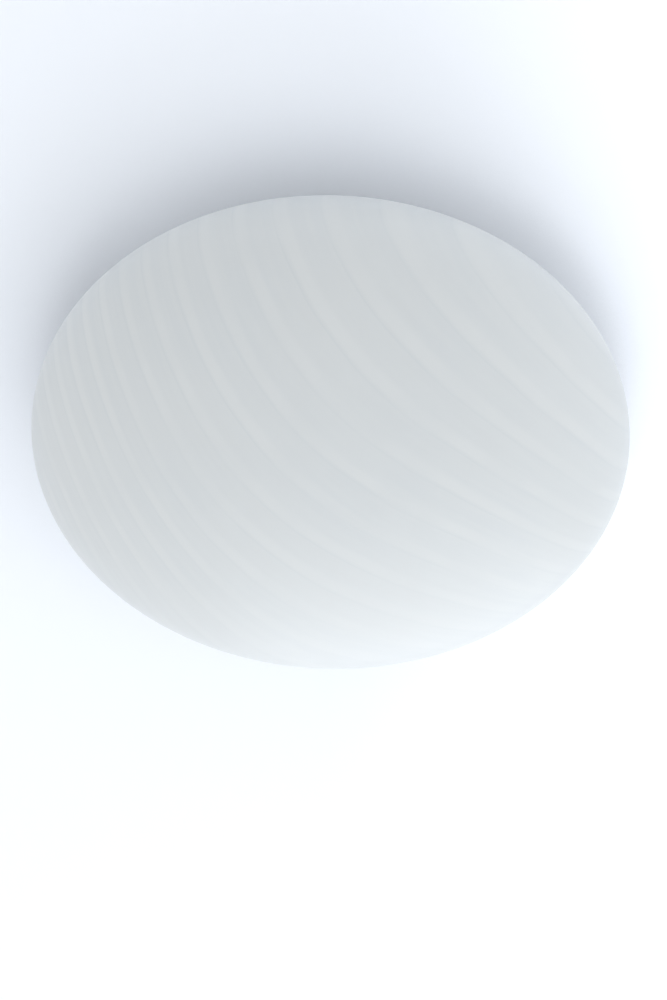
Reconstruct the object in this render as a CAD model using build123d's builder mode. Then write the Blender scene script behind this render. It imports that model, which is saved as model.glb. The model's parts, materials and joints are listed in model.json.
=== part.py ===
from build123d import *
import math
import os

os.makedirs("parts", exist_ok=True)

# A flush ceiling light: a blown glass bowl, turned in at the top to a round mouth, hangs by
# that mouth on three sprung clips of a pressed steel pan. Three lampholders stand in the pan
# like a pinwheel. Millimetres, with the ceiling at Z = 0 and the light below it. The origin
# is the centre of the pan's back.

# Glass shade
shade_radius = 200.0
bowl_depth = 66.0  # from the widest circle down to the lowest point
glass_wall = 4.5
lip_bead = 2.8  # radius of the fire-polished lip
mouth_gap = 13.0  # from the ceiling down to the lip

# Ceiling pan
sheet = 1.0
pan_depth = 26.0
pan_recess = 4.0  # the pan's floor stands this far off the ceiling
pan_corner = 3.0
pan_rim_width = 17.0  # the outer ring that lies on the ceiling
press_slope = 5.0  # run of a pressed step
hem_radius = 1.6
bead_radius = 61.5  # middle of the stiffening ring
bead_width = 5.0
bead_rise = 2.0
bead_slope = 2.5
fixing_step = 5.0  # the fixing holes' circle is a whole number of these in radius
fixing_hole = 2.75
fixing_pad = 8.0
fixing_land = 3.0  # least flat between a fixing pad and the step up to the outer ring
fixing_angle = -30.0  # degrees from +X to the first fixing
symmetry = 3

# Spring clips
clip_angle = -90.0  # degrees from +X to the first clip
clip_room = 11.0  # between the pan's wall and the glass mouth
clip_strip = 0.5
clip_width = 14.0
clip_slope = 35.0  # degrees below level, where the lip lies
clip_catch = 5.5  # how far the slope runs on past the lip
clip_foot = 7.6
clip_lead = 20.0  # height of the lead-in below the slope
clip_lead_inset = 2.0  # of the lead-in's end from the pan's wall
clip_bend = 2.0
sleeve_wall = 0.6
sleeve_reach = 8.0  # of the sleeve, each side of the crest
clip_rivet_radius = 1.5
clip_rivet_spacing = 7.0
rivet_head = 1.2  # a rivet's head and tail overhang its shank by this
rivet_dome = 1.1
rivet_round = 0.9
rivet_tail = 0.9

# Lamps and lampholders
lamp_drop = 60.0  # from the ceiling down to the lamps' axes
lamp_offset = 77.0  # from the light's centre to each lamp's axis
holder_radius = 20.5
holder_length = 46.0
holder_mouth = -12.0  # along the lamp's axis, from the foot of the perpendicular
holder_floor = 17.0  # thickness of porcelain behind the screw shell
holder_edge = 3.0
collar_rise = 1.5  # of the collar beyond the lampholder's wall
collar_length = 5.0
collar_edge = 1.0
shell_wall = 0.5
shell_setback = 2.0
contact_strip = 0.5
contact_width = 5.0
contact_foot = 5.5
contact_root = 1.4  # the tongue lifts off this far short of the lamp's axis
contact_nose = 3.9
contact_hole = 6.5
cap_radius = 13.1
cap_insertion = 25.0
cap_wall = 0.4
cap_shoulder = 2.5
cap_round = 1.2
cap_start = 5.0  # from the lamp's tip, as the next two
cap_end = 27.0
spigot_start = 20.0
tip_height = 1.6
tip_round = 0.9
bulb_length = 110.0
housing_setback = 18.0  # of the housing's front from the middle of the dome's ball
tip_radius = 4.2
insulator_radius = 5.5
bulb_radius = 30.0
bulb_wall = 1.2
housing_wall = 1.6
neck_hollow = 1.2
bulb_run_out = 3.0  # travel left over once the cap is clear of the holder
mouth_margin = 11.3  # between a withdrawn lamp and the glass mouth

# Lampholder brackets
strap = 1.5
strap_width = 16.0
strap_foot = 30.0
strap_overhang = 15.0  # of the upright beyond the lamp's axis
strap_bend = 2.5
strap_corner = 4.0
holder_screw_radius = 1.6
holder_screw_head = 3.0
holder_screw_height = 2.0
screw_head_round = 0.9
holder_screw_spacing = 18.0
holder_screw_bite = 7.0
foot_rivet_radius = 1.6
foot_rivet_spacing = 13.0
foot_rivet_edge = 5.0

# Terminal block
pole_pitch = 12.0
pole_count = 3
tower_length = 10.4
tower_width = 14.0
block_width = 18.0
block_base = 9.0
block_height = 16.0
block_edge = 1.0
ear_length = 8.0
ear_width = 8.0
ear_height = 4.0
wire_height = 6.5  # of the conductors above the pan's floor
entry_width = 7.8
entry_height = 3.4
entry_depth = 5.0
supply_hole = 2.2
insert_width = 7.4
insert_height = 5.0
insert_bore = 1.9
clamp_radius = 1.5
clamp_head = 2.1
clamp_head_height = 1.4
clamp_spacing = 4.4
clamp_well = 1.0  # how far the clamp screws' heads are sunk
block_screw_radius = 1.4
block_screw_head = 2.6
block_screw_height = 1.8
screw_end = 2.0  # how far a screw passes through the pan's floor

# Cable entry and earth
cable_offset = 34.0
cable_hole = 7.0
grommet_bore = 4.5
grommet_flange = 9.5
grommet_lip = 1.8
grommet_round = 0.85
earth_offset = -40.0
earth_screw_radius = 2.0
earth_head_radius = 3.8
earth_head_height = 2.6
ring_radius = 3.9
ring_sheet = 0.8
ring_tail = 3.6
barrel_start = 5.5  # from the earth screw's axis
barrel_end = 11.0
barrel_wall = 0.7
washer_radius = 4.4
washer_sheet = 0.9

# Internal wires
wire_radius = 1.1
wire_pitch = 2.5
wire_seat = 3.0  # how deep a wire goes into a holder or a barrel
terminal_spread = 6.0  # of a holder's two wires, each side of its axis
terminal_setback = 10.0  # of their middle from the holder's back
terminal_stagger = 4.0  # of each wire along the holder, from that middle
wire_exit = 5.0  # straight out of the terminal block, before the first bend
wire_drop = 5.0  # from the pan's floor down to the bend above each lampholder
earth_wire_step = 7.0  # run over which the earth wire climbs to its pole
bend_share = 0.45  # of the shorter run, taken up by each bend

# Clearances
seat_clearance = 0.05
wire_clearance = 0.3
running_clearance = 0.3


def rise(radius, half_width, half_height):
    """Height of an ellipse above its centre at a radius."""
    return half_height * math.sqrt(1 - (radius / half_width) ** 2)


def save(part, name):
    part.label = name
    export_step(part, f"parts/{name}.step")


def save_round(piece, name, start=0.0):
    """One copy of a piece for each third of the light, numbered from 1."""
    for number, angle in enumerate(angles, 1):
        save(piece.part.rotate(Axis.Z, start + angle), f"{name}_{number}")


def bend_radii(points):
    """For each corner of a wire's route, the largest bend that its two runs allow."""
    radii = []
    for before, corner, after in zip(points, points[1:], points[2:]):
        into = Vector(*corner) - Vector(*before)
        out = Vector(*after) - Vector(*corner)
        half_turn = math.radians(into.get_angle(out) / 2)
        radii.append(bend_share * min(into.length, out.length) / math.tan(half_turn))
    return radii


# Places that follow from the sizes

angles = [360.0 / symmetry * number for number in range(symmetry)]
bulb_travel = cap_insertion + bulb_run_out
tip_at = holder_mouth - cap_insertion
ball_at = tip_at + bulb_length - bulb_radius
withdrawn_reach = math.hypot(ball_at + bulb_travel, lamp_offset) + bulb_radius
mouth_radius = withdrawn_reach + mouth_margin
pan_radius = mouth_radius - clip_room
pad_reach = fixing_pad + press_slope + sheet
fixing_most = pan_radius - pan_rim_width - press_slope - fixing_land - pad_reach
fixing_circle = fixing_step * math.floor(fixing_most / fixing_step)
lip_radius = mouth_radius + lip_bead
lip_at = -(mouth_gap + lip_bead)
outer_rise = rise(lip_radius, shade_radius, bowl_depth)
inner_rise = rise(lip_radius, shade_radius - glass_wall, bowl_depth - glass_wall)
widest_at = lip_at - (outer_rise + inner_rise) / 2
floor_back = -pan_recess
floor_front = floor_back - sheet
skin = sheet / 2

# The lamps' own frame: X along the lamp from holder to bulb, Y up, in the first lamp's place
lamp_side = Plane(origin=(0, -lamp_offset, -lamp_drop), x_dir=(1, 0, 0), z_dir=(0, -1, 0))
lamp_line = Axis(origin=(0, -lamp_offset, -lamp_drop), direction=(1, 0, 0))
holder_back = holder_mouth - holder_length
inner_floor = holder_back + holder_floor
collar_radius = holder_radius + collar_rise
foot_end = holder_back - strap + strap_foot
foot_rivets = [
    (foot_end - foot_rivet_edge - foot_rivet_spacing * step, -lamp_offset) for step in (0, 1)
]
wire_row = holder_back + terminal_setback
live_at = Vector(wire_row + terminal_stagger, -lamp_offset + terminal_spread)
neutral_at = Vector(wire_row - terminal_stagger, -lamp_offset - terminal_spread)
wire_side = terminal_spread + wire_radius
wire_down_to = math.sqrt(holder_radius**2 - wire_side**2) - lamp_drop - wire_seat

# The clip's bends, in a plane through the centre line: X outward, Y up
slope = math.radians(clip_slope)
strip_out = pan_radius + clip_strip / 2
sleeve_out = clip_strip / 2 + seat_clearance + sleeve_wall
lip_to_strip = lip_bead + running_clearance + sleeve_out
rest_out = lip_radius - lip_to_strip * math.sin(slope)
rest_up = lip_at - lip_to_strip * math.cos(slope)
knee = Vector(strip_out, rest_up + (rest_out - strip_out) * math.tan(slope))
crest = Vector(rest_out + clip_catch * math.cos(slope), rest_up - clip_catch * math.sin(slope))
clip_top = knee + Vector(0, clip_foot)
clip_end = Vector(strip_out + clip_lead_inset, crest.Y - clip_lead)
clip_rivet_at = knee.Y + clip_foot / 2
clip_rivets = [(-clip_rivet_spacing / 2, clip_rivet_at), (clip_rivet_spacing / 2, clip_rivet_at)]
tail_reach = clip_rivet_spacing / 2 + clip_rivet_radius + rivet_head
tail_seat = math.sqrt((pan_radius - sheet) ** 2 - tail_reach**2)

# Terminal block and what it holds, about the light's centre: poles along Y, supply at +X
pole_places = [pole_pitch * (step - (pole_count - 1) / 2) for step in range(pole_count)]
live_pole, earth_pole, neutral_pole = pole_places[0], pole_places[1], pole_places[-1]
block_length = pole_pitch * pole_count
ear_at = (block_length + ear_length) / 2
wire_at = floor_front - wire_height
insert_length = block_width - 2 * entry_depth
clamp_places = [(side * clamp_spacing / 2, pole) for pole in pole_places for side in (-1, 1)]
tower_front = floor_front - block_height
clamp_seat = tower_front + clamp_well + clamp_head_height
insert_front = wire_at - insert_height / 2
wire_stop = -block_width / 2 + entry_depth
wire_turn = -block_width / 2 - wire_exit
turn_down_at = floor_front - wire_drop

# Earth point
washer_at = floor_front - ring_sheet
earth_seat = washer_at - washer_sheet
barrel_radius = wire_radius + seat_clearance + barrel_wall
barrel_at = floor_front - barrel_radius

# Glass shade

with BuildPart() as glass_shade:
    with BuildSketch(Plane.XZ):
        with Locations((0, widest_at)):
            Ellipse(shade_radius, bowl_depth)
            Ellipse(shade_radius - glass_wall, bowl_depth - glass_wall, mode=Mode.SUBTRACT)
            Rectangle(shade_radius, 2 * bowl_depth, align=(Align.MAX, Align.CENTER), mode=Mode.SUBTRACT)
            Rectangle(lip_radius, bowl_depth, align=(Align.MIN, Align.MIN), mode=Mode.SUBTRACT)
        with Locations((lip_radius, lip_at)):
            Circle(lip_bead)
    revolve(axis=Axis.Z)
save(glass_shade.part, "glass_shade")

# Ceiling pan: a pressed dish whose outer ring and three fixing pads lie on the ceiling

with BuildPart() as ceiling_pan:
    with BuildSketch(Plane.XZ):
        with BuildLine():
            FilletPolyline(
                (0, floor_back - skin),
                (bead_radius - bead_width / 2 - bead_slope, floor_back - skin),
                (bead_radius - bead_width / 2, floor_back - skin + bead_rise),
                (bead_radius + bead_width / 2, floor_back - skin + bead_rise),
                (bead_radius + bead_width / 2 + bead_slope, floor_back - skin),
                (pan_radius - pan_rim_width - press_slope, floor_back - skin),
                (pan_radius - pan_rim_width, -skin),
                (pan_radius - skin, -skin),
                (pan_radius - skin, -pan_depth + hem_radius),
                radius=[sheet, sheet, sheet, sheet, 2 * sheet, 2 * sheet, pan_corner - skin],
            )
        trace(line_width=sheet)
        with Locations((pan_radius - hem_radius, -pan_depth + hem_radius)):
            Circle(hem_radius)
    revolve(axis=Axis.Z)
    with BuildSketch(Plane.XY.offset(floor_front)):
        with PolarLocations(fixing_circle, symmetry, start_angle=fixing_angle):
            Circle(fixing_pad + press_slope)
    extrude(amount=pan_recess + sheet, mode=Mode.SUBTRACT)
    for angle in angles:
        pad_out = Vector(1, 0, 0).rotate(Axis.Z, fixing_angle + angle)
        pad_centre = pad_out * fixing_circle
        with BuildSketch(Plane(origin=pad_centre, x_dir=pad_out, z_dir=pad_out.rotate(Axis.Z, -90))):
            with BuildLine():
                FilletPolyline(
                    (fixing_hole, -skin),
                    (fixing_pad, -skin),
                    (fixing_pad + press_slope, floor_back - skin),
                    (pad_reach, floor_back - skin),
                    radius=sheet,
                )
            trace(line_width=sheet)
        revolve(axis=Axis(origin=pad_centre, direction=(0, 0, 1)))
    with BuildSketch(Plane.XY.offset(floor_front)):
        with Locations((cable_offset, 0)):
            Circle(cable_hole)
        with Locations((earth_offset, 0)):
            Circle(earth_screw_radius + seat_clearance)
        with Locations((0, ear_at), (0, -ear_at)):
            Circle(block_screw_radius + seat_clearance)
        for angle in angles:
            for rivet_place in foot_rivets:
                rivet = Vector(*rivet_place).rotate(Axis.Z, angle)
                with Locations((rivet.X, rivet.Y)):
                    Circle(foot_rivet_radius + seat_clearance)
    extrude(amount=sheet, mode=Mode.SUBTRACT)
    for angle in angles:
        outward = Vector(1, 0, 0).rotate(Axis.Z, clip_angle + angle)
        with BuildSketch(Plane(origin=outward * pan_radius, x_dir=outward.rotate(Axis.Z, 90), z_dir=outward)):
            with Locations(*clip_rivets):
                Circle(clip_rivet_radius + seat_clearance)
        extrude(amount=-2 * sheet, mode=Mode.SUBTRACT)
save(ceiling_pan.part, "ceiling_pan")

# Spring clips, with a soft sleeve over each crest, and their rivets

with BuildPart() as spring_clip:
    with BuildSketch(Plane.XZ):
        with BuildLine():
            FilletPolyline(clip_top, knee, crest, clip_end, radius=clip_bend)
        trace(line_width=clip_strip)
    extrude(amount=clip_width / 2, both=True)
    with BuildSketch(Plane.YZ.offset(strip_out)):
        with Locations(*clip_rivets):
            Circle(clip_rivet_radius + seat_clearance)
    extrude(amount=clip_strip, both=True, mode=Mode.SUBTRACT)
save_round(spring_clip, "spring_clip", clip_angle)

sleeve_start = crest + (knee - crest).normalized() * sleeve_reach
sleeve_end = crest + (clip_end - crest).normalized() * sleeve_reach

with BuildPart() as clip_sleeve:
    for wall, mode in ((seat_clearance + sleeve_wall, Mode.ADD), (seat_clearance, Mode.SUBTRACT)):
        with BuildSketch(Plane.XZ):
            with BuildLine():
                FilletPolyline(sleeve_start, crest, sleeve_end, radius=clip_bend)
            trace(line_width=clip_strip + 2 * wall)
        extrude(amount=clip_width / 2 + wall, both=True, mode=mode)
save_round(clip_sleeve, "clip_sleeve", clip_angle)

with BuildPart() as clip_rivet_pair:
    with BuildSketch(Plane.YZ.offset(pan_radius + clip_strip)):
        with Locations(*clip_rivets):
            Circle(clip_rivet_radius + rivet_head)
    extrude(amount=rivet_dome)
    fillet(clip_rivet_pair.edges().group_by(Axis.X)[-1], radius=rivet_round)
    with BuildSketch(Plane.YZ.offset(tail_seat - rivet_tail)):
        with Locations(*clip_rivets):
            Circle(clip_rivet_radius + rivet_head)
    extrude(amount=rivet_tail)
    with BuildSketch(Plane.YZ.offset(tail_seat)):
        with Locations(*clip_rivets):
            Circle(clip_rivet_radius)
    extrude(amount=pan_radius + clip_strip - tail_seat)

with BuildPart() as clip_rivets_all:
    for angle in angles:
        add(clip_rivet_pair.part.rotate(Axis.Z, clip_angle + angle))
save(clip_rivets_all.part, "clip_rivets")

# Lampholder brackets and their rivets and screws

foot_up = floor_front + lamp_drop

with BuildPart() as holder_bracket:
    with BuildSketch(lamp_side):
        with BuildLine():
            FilletPolyline(
                (holder_back - strap / 2, -strap_overhang),
                (holder_back - strap / 2, foot_up - strap / 2),
                (foot_end, foot_up - strap / 2),
                radius=strap_bend,
            )
        trace(line_width=strap)
    extrude(amount=strap_width / 2, both=True)
    fillet(holder_bracket.edges().filter_by(Axis.Z).group_by(Axis.X)[-1], radius=strap_corner)
    fillet(holder_bracket.edges().filter_by(Axis.X).group_by(Axis.Z)[0], radius=strap_corner)
    with BuildSketch(Plane.XY.offset(floor_front)):
        with Locations(*foot_rivets):
            Circle(foot_rivet_radius + seat_clearance)
    extrude(amount=-strap, mode=Mode.SUBTRACT)
    with BuildSketch(Plane.YZ.offset(holder_back)):
        with Locations((-lamp_offset, -lamp_drop)):
            with GridLocations(0, holder_screw_spacing, 1, 2):
                Circle(holder_screw_radius + seat_clearance)
    extrude(amount=-strap, mode=Mode.SUBTRACT)
save_round(holder_bracket, "holder_bracket")

with BuildPart() as foot_rivet_pair:
    with BuildSketch(Plane.XY.offset(floor_front - strap)):
        with Locations(*foot_rivets):
            Circle(foot_rivet_radius + rivet_head)
    extrude(amount=-rivet_dome)
    fillet(foot_rivet_pair.edges().group_by(Axis.Z)[0], radius=rivet_round)
    with BuildSketch(Plane.XY.offset(floor_front - strap)):
        with Locations(*foot_rivets):
            Circle(foot_rivet_radius)
    extrude(amount=strap + sheet)
    with BuildSketch(Plane.XY.offset(floor_back)):
        with Locations(*foot_rivets):
            Circle(foot_rivet_radius + rivet_head)
    extrude(amount=rivet_tail)

with BuildPart() as bracket_rivets:
    for angle in angles:
        add(foot_rivet_pair.part.rotate(Axis.Z, angle))
save(bracket_rivets.part, "bracket_rivets")

with BuildPart() as holder_screw_pair:
    with BuildSketch(Plane.YZ.offset(holder_back - strap)):
        with Locations((-lamp_offset, -lamp_drop)):
            with GridLocations(0, holder_screw_spacing, 1, 2):
                Circle(holder_screw_head)
    extrude(amount=-holder_screw_height)
    fillet(holder_screw_pair.edges().group_by(Axis.X)[0], radius=screw_head_round)
    with BuildSketch(Plane.YZ.offset(holder_back - strap)):
        with Locations((-lamp_offset, -lamp_drop)):
            with GridLocations(0, holder_screw_spacing, 1, 2):
                Circle(holder_screw_radius)
    extrude(amount=strap + holder_screw_bite)

with BuildPart() as holder_screws:
    for angle in angles:
        add(holder_screw_pair.part.rotate(Axis.Z, angle))
save(holder_screws.part, "holder_screws")

# Lampholders: a porcelain body, the screw shell in it and the sprung centre contact

shell_inside = cap_radius + running_clearance
shell_outside = shell_inside + shell_wall
holder_bore = shell_outside + seat_clearance

with BuildPart() as lampholder:
    with BuildSketch(lamp_side):
        with BuildLine():
            Polyline(
                (holder_back, 0),
                (holder_back, holder_radius),
                (holder_mouth - collar_length, holder_radius),
                (holder_mouth - collar_length, collar_radius),
                (holder_mouth, collar_radius),
                (holder_mouth, holder_bore),
                (inner_floor, holder_bore),
                (inner_floor, 0),
                close=True,
            )
        make_face()
    revolve(axis=lamp_line)
    rings = lampholder.edges().filter_by(GeomType.CIRCLE)
    collar_rings = rings.filter_by(lambda ring: abs(ring.radius - collar_radius) < seat_clearance)
    fillet(collar_rings, radius=collar_edge)
    fillet(rings.sort_by(Axis.X)[0], radius=holder_edge)
    with BuildSketch(Plane.XY.offset(wire_down_to)):
        with Locations((live_at.X, live_at.Y), (neutral_at.X, neutral_at.Y)):
            Circle(wire_radius + wire_clearance)
    extrude(amount=holder_radius, mode=Mode.SUBTRACT)
    with BuildSketch(Plane.YZ.offset(holder_back)):
        with Locations((-lamp_offset, -lamp_drop)):
            with GridLocations(0, holder_screw_spacing, 1, 2):
                Circle(holder_screw_radius + seat_clearance)
    extrude(amount=holder_screw_bite, mode=Mode.SUBTRACT)
save_round(lampholder, "lampholder_body")

with BuildPart() as screw_shell:
    with BuildSketch(Plane.YZ.offset(inner_floor)):
        with Locations((-lamp_offset, -lamp_drop)):
            Circle(shell_outside)
    extrude(amount=holder_mouth - shell_setback - inner_floor)
    with BuildSketch(Plane.YZ.offset(inner_floor + shell_wall)):
        with Locations((-lamp_offset, -lamp_drop)):
            Circle(shell_inside)
    extrude(amount=holder_length, mode=Mode.SUBTRACT)
    with BuildSketch(Plane.YZ.offset(inner_floor)):
        with Locations((-lamp_offset, -lamp_drop)):
            Circle(contact_hole)
    extrude(amount=shell_wall, mode=Mode.SUBTRACT)
save_round(screw_shell, "screw_shell")

contact_back = inner_floor + contact_strip / 2
contact_front = tip_at - running_clearance - contact_strip / 2

with BuildPart() as centre_contact:
    with BuildSketch(lamp_side):
        with BuildLine():
            FilletPolyline(
                (contact_back, -contact_foot),
                (contact_back, -contact_root),
                (contact_front, contact_root),
                (contact_front, contact_nose),
                radius=contact_strip,
            )
        trace(line_width=contact_strip)
    extrude(amount=contact_width / 2, both=True)
save_round(centre_contact, "centre_contact")

# Lamps: contact, insulator, screw cap, plastic housing and opal dome

cap_middle = cap_radius - cap_wall / 2
cap_neck = cap_middle - cap_shoulder
dome_start = ball_at - housing_setback
dome_edge = math.sqrt(bulb_radius**2 - (ball_at - dome_start) ** 2)
neck_start = cap_radius - housing_wall / 2
neck_end = dome_edge - housing_wall / 2

with BuildPart() as bulb_contact:
    with BuildSketch(Plane.YZ.offset(tip_at)):
        with Locations((-lamp_offset, -lamp_drop)):
            Circle(tip_radius)
    extrude(amount=tip_height)
    fillet(bulb_contact.edges().group_by(Axis.X)[0], radius=tip_round)
save_round(bulb_contact, "bulb_contact")

with BuildPart() as bulb_insulator:
    with BuildSketch(lamp_side):
        with BuildLine():
            Polyline(
                (tip_at + tip_height, 0),
                (tip_at + tip_height, insulator_radius),
                (tip_at + cap_start, cap_neck - cap_wall / 2),
                (tip_at + cap_start + cap_wall, cap_neck - cap_wall),
                (tip_at + cap_start + cap_wall, 0),
                close=True,
            )
        make_face()
    revolve(axis=lamp_line)
save_round(bulb_insulator, "bulb_insulator")

with BuildPart() as bulb_cap:
    with BuildSketch(lamp_side):
        with BuildLine():
            FilletPolyline(
                (tip_at + cap_start, cap_neck),
                (tip_at + cap_start + cap_shoulder, cap_middle),
                (tip_at + cap_end, cap_middle),
                radius=cap_round,
            )
        trace(line_width=cap_wall)
    revolve(axis=lamp_line)
save_round(bulb_cap, "bulb_cap")

with BuildPart() as bulb_housing:
    with BuildSketch(lamp_side):
        with BuildLine():
            ThreePointArc(
                (tip_at + cap_end, neck_start),
                ((tip_at + cap_end + dome_start) / 2, (neck_start + neck_end) / 2 - neck_hollow),
                (dome_start, neck_end),
            )
        trace(line_width=housing_wall)
        with Locations((tip_at + cap_end, 0)):
            Rectangle(bulb_length, bulb_length, align=(Align.MAX, Align.MIN), mode=Mode.SUBTRACT)
        with Locations((dome_start, 0)):
            Rectangle(bulb_length, bulb_length, align=(Align.MIN, Align.MIN), mode=Mode.SUBTRACT)
            Rectangle(housing_wall, neck_end, align=(Align.MAX, Align.MIN))
        with Locations((tip_at + spigot_start, cap_radius - cap_wall - seat_clearance)):
            Rectangle(cap_end - spigot_start + housing_wall, housing_wall, align=(Align.MIN, Align.MAX))
    revolve(axis=lamp_line)
save_round(bulb_housing, "bulb_housing")

with BuildPart() as bulb_dome:
    with BuildSketch(lamp_side):
        with Locations((ball_at, 0)):
            Circle(bulb_radius)
            Circle(bulb_radius - bulb_wall, mode=Mode.SUBTRACT)
            Rectangle(bulb_length, bulb_length, align=(Align.CENTER, Align.MAX), mode=Mode.SUBTRACT)
        with Locations((dome_start, 0)):
            Rectangle(bulb_length, bulb_length, align=(Align.MAX, Align.MIN), mode=Mode.SUBTRACT)
    revolve(axis=lamp_line)
save_round(bulb_dome, "bulb_dome")

# Terminal block: three poles on one base, an ear at each end

with BuildPart() as terminal_block:
    with BuildSketch(Plane.XY.offset(floor_front)):
        Rectangle(block_width, block_length)
    extrude(amount=-block_base)
    chamfer(terminal_block.edges().filter_by(Axis.Y).group_by(Axis.Z)[0], length=block_edge)
    with BuildSketch(Plane.XY.offset(floor_front)):
        with GridLocations(0, pole_pitch, 1, pole_count):
            Rectangle(tower_width, tower_length)
    extrude(amount=-block_height)
    with BuildSketch(Plane.XY.offset(floor_front)):
        with Locations((0, ear_at), (0, -ear_at)):
            Rectangle(ear_width, ear_length)
    extrude(amount=-ear_height)
    with BuildSketch(Plane.YZ.offset(-block_width / 2)):
        with Locations(*[(pole, wire_at) for pole in pole_places]):
            Rectangle(entry_width, entry_height)
    extrude(amount=entry_depth, mode=Mode.SUBTRACT)
    with BuildSketch(Plane.YZ.offset(-insert_length / 2)):
        with Locations(*[(pole, wire_at) for pole in pole_places]):
            Rectangle(insert_width, insert_height)
    extrude(amount=insert_length, mode=Mode.SUBTRACT)
    with BuildSketch(Plane.YZ.offset(block_width / 2)):
        with Locations(*[(pole, wire_at) for pole in pole_places]):
            Circle(supply_hole)
    extrude(amount=-entry_depth, mode=Mode.SUBTRACT)
    with BuildSketch(Plane.XY.offset(tower_front)):
        with Locations(*clamp_places):
            Circle(clamp_head + seat_clearance)
    extrude(amount=insert_front - tower_front, mode=Mode.SUBTRACT)
    with BuildSketch(Plane.XY.offset(floor_front)):
        with Locations((0, ear_at), (0, -ear_at)):
            Circle(block_screw_radius + seat_clearance)
    extrude(amount=-ear_height, mode=Mode.SUBTRACT)
save(terminal_block.part, "terminal_block")

with BuildPart() as terminal_inserts:
    with BuildSketch(Plane.YZ.offset(-insert_length / 2)):
        with Locations(*[(pole, wire_at) for pole in pole_places]):
            Rectangle(insert_width, insert_height)
            Circle(insert_bore, mode=Mode.SUBTRACT)
    extrude(amount=insert_length)
    with BuildSketch(Plane.XY.offset(insert_front)):
        with Locations(*clamp_places):
            Circle(clamp_radius + seat_clearance)
    extrude(amount=insert_height / 2, mode=Mode.SUBTRACT)
save(terminal_inserts.part, "terminal_inserts")

with BuildPart() as terminal_screws:
    with BuildSketch(Plane.XY.offset(clamp_seat)):
        with Locations(*clamp_places):
            Circle(clamp_head)
    extrude(amount=-clamp_head_height)
    with BuildSketch(Plane.XY.offset(clamp_seat)):
        with Locations(*clamp_places):
            Circle(clamp_radius)
    extrude(amount=wire_at - insert_bore - clamp_seat)
save(terminal_screws.part, "terminal_screws")

with BuildPart() as block_screws:
    with BuildSketch(Plane.XY.offset(floor_front - ear_height)):
        with Locations((0, ear_at), (0, -ear_at)):
            Circle(block_screw_head)
    extrude(amount=-block_screw_height)
    fillet(block_screws.edges().group_by(Axis.Z)[0], radius=screw_head_round)
    with BuildSketch(Plane.XY.offset(floor_front - ear_height)):
        with Locations((0, ear_at), (0, -ear_at)):
            Circle(block_screw_radius)
    extrude(amount=ear_height + sheet + screw_end)
save(block_screws.part, "block_screws")

# Cable grommet in the pan's floor

with BuildPart() as cable_grommet:
    with BuildSketch(Plane.XY.offset(floor_front - grommet_lip)):
        with Locations((cable_offset, 0)):
            Circle(grommet_flange)
    extrude(amount=sheet + 2 * grommet_lip)
    fillet(cable_grommet.edges().filter_by(GeomType.CIRCLE), radius=grommet_round)
    with BuildSketch(Plane.XY.offset(floor_front)):
        with Locations((cable_offset, 0)):
            Circle(grommet_flange)
            Circle(cable_hole, mode=Mode.SUBTRACT)
    extrude(amount=sheet, mode=Mode.SUBTRACT)
    with BuildSketch(Plane.XY.offset(floor_front - grommet_lip)):
        with Locations((cable_offset, 0)):
            Circle(grommet_bore)
    extrude(amount=sheet + 2 * grommet_lip, mode=Mode.SUBTRACT)
save(cable_grommet.part, "cable_grommet")

# Earth point: a ring tag clamped to the pan's bare floor

with BuildPart() as earth_tag:
    with BuildSketch(Plane.XY.offset(floor_front)):
        with Locations((earth_offset, 0)):
            Circle(ring_radius)
            Rectangle(barrel_start + barrel_wall, ring_tail, align=(Align.MIN, Align.CENTER))
            Circle(earth_screw_radius + seat_clearance, mode=Mode.SUBTRACT)
    extrude(amount=-ring_sheet)
    with BuildSketch(Plane.YZ.offset(earth_offset + barrel_start)):
        with Locations((0, barrel_at)):
            Circle(barrel_radius)
    extrude(amount=barrel_end - barrel_start)
    with BuildSketch(Plane.YZ.offset(earth_offset + barrel_end)):
        with Locations((0, barrel_at)):
            Circle(wire_radius + seat_clearance)
    extrude(amount=-wire_seat, mode=Mode.SUBTRACT)
save(earth_tag.part, "earth_tag")

with BuildPart() as earth_washer:
    with BuildSketch(Plane.XY.offset(washer_at)):
        with Locations((earth_offset, 0)):
            Circle(washer_radius)
            Circle(earth_screw_radius + seat_clearance, mode=Mode.SUBTRACT)
    extrude(amount=-washer_sheet)
save(earth_washer.part, "earth_washer")

with BuildPart() as earth_screw:
    with BuildSketch(Plane.XY.offset(earth_seat)):
        with Locations((earth_offset, 0)):
            Circle(earth_head_radius)
    extrude(amount=-earth_head_height)
    fillet(earth_screw.edges().group_by(Axis.Z)[0], radius=screw_head_round)
    with BuildSketch(Plane.XY.offset(earth_seat)):
        with Locations((earth_offset, 0)):
            Circle(earth_screw_radius)
    extrude(amount=floor_back + screw_end - earth_seat)
save(earth_screw.part, "earth_screw")

# Internal wires, each from its pole to its lampholder

live_ends = [live_at.rotate(Axis.Z, angle) for angle in angles]
neutral_ends = [neutral_at.rotate(Axis.Z, angle) for angle in angles]
live_routes = [
    (0.0, [(-24, -17, -11), (-36, -42, -12)], live_ends[0]),
    (-1.0, [(-18, -24, -12), (-12, -38, -12), (36, -40, -11), (70, -22, -11)], live_ends[1]),
    (1.0, [(-22, -4, -15), (-25, 20, -16), (-38, 48, -13)], live_ends[2]),
]
neutral_routes = [
    (-1.0, [(-25, 2, -11), (-37, -24, -11), (-58, -52, -12)], neutral_ends[0]),
    (1.0, [(-18, 24, -12), (-12, 38, -12), (38, 42, -11), (78, 26, -11)], neutral_ends[1]),
    (0.0, [(-26, 15, -11), (-46, 40, -12), (-58, 64, -12)], neutral_ends[2]),
]


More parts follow.
